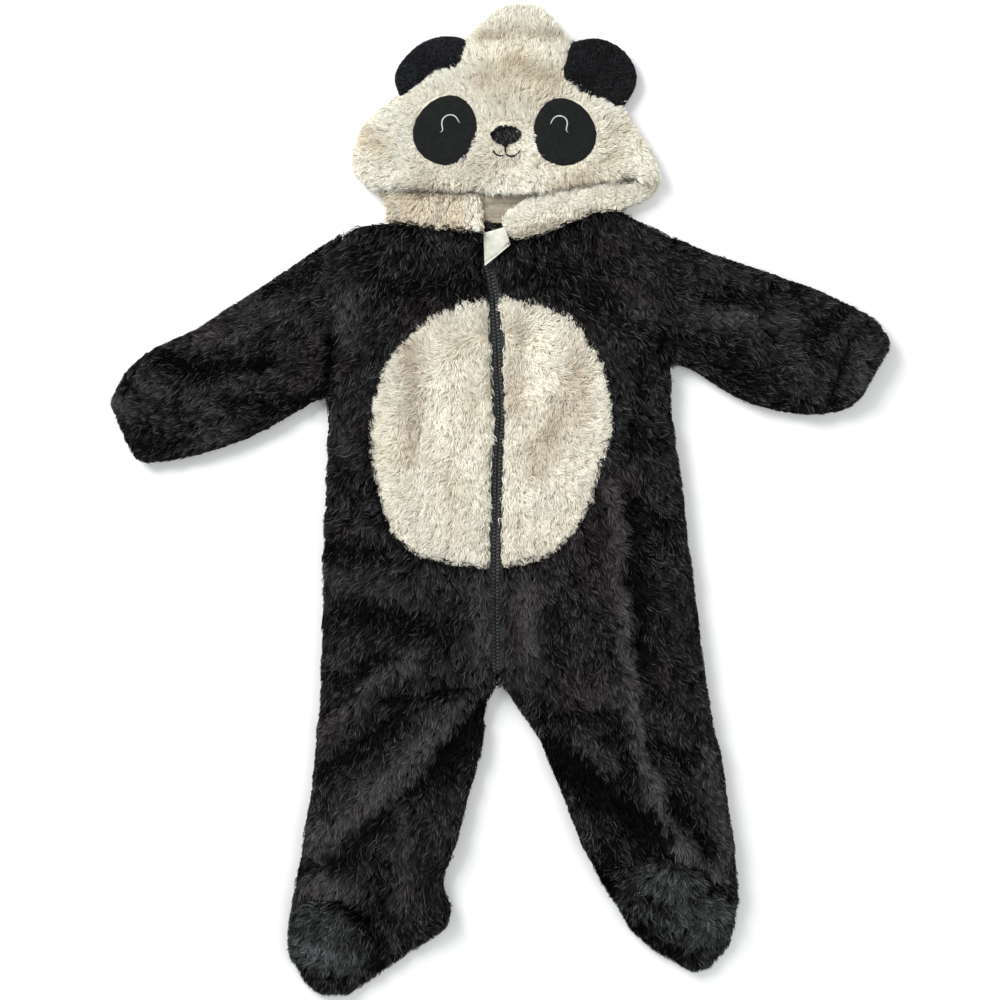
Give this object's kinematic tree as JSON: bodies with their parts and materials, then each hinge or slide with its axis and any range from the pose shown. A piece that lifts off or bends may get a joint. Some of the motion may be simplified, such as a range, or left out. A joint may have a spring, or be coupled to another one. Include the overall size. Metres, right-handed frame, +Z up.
{
  "type": "hooded footed baby romper, laid flat",
  "caption": "Baby's footed fleece romper laid flat, with a front zip, an oval belly panel, long sleeves and an animal-face hood with padded ears.",
  "frame": {"origin": "on the surface that the garment lies on, under the middle of its whole outline", "axes": "+Y from the feet to the hood, +X towards the wearer's left sleeve, +Z up from the surface through the front"},
  "size_m": [0.6638, 0.844, 0.024],
  "materials": {
    "black_fleece": "long pile",
    "cream_fleece": "long pile",
    "ear_plush": "short pile",
    "patch_plush": "smooth",
    "beige_lining": "matte",
    "zip_tape": "matte",
    "dark_metal": "satin",
    "white_cotton": "matte"
  },
  "bodies": {
    "root": {"front_right": "black_fleece", "front_left": "black_fleece", "belly_right": "cream_fleece", "belly_left": "cream_fleece", "back_right": "black_fleece", "back_left": "black_fleece", "sleeve_right": "black_fleece", "sleeve_left": "black_fleece", "foot_top_right": "black_fleece", "foot_top_left": "black_fleece", "sole_right": "black_fleece", "sole_left": "black_fleece", "hood_face": "cream_fleece", "hood_back": "cream_fleece", "hood_side_right": "cream_fleece", "hood_side_left": "cream_fleece", "hood_lining": "beige_lining", "ear_right": "ear_plush", "ear_left": "ear_plush", "eye_patch_right": "patch_plush", "eye_patch_left": "patch_plush", "nose_patch": "patch_plush", "zip_tape_right": "zip_tape", "zip_tape_left": "zip_tape", "zip_slider": "dark_metal", "zip_pull": "dark_metal", "zip_guard": "white_cotton"}
  },
  "joints": []
}
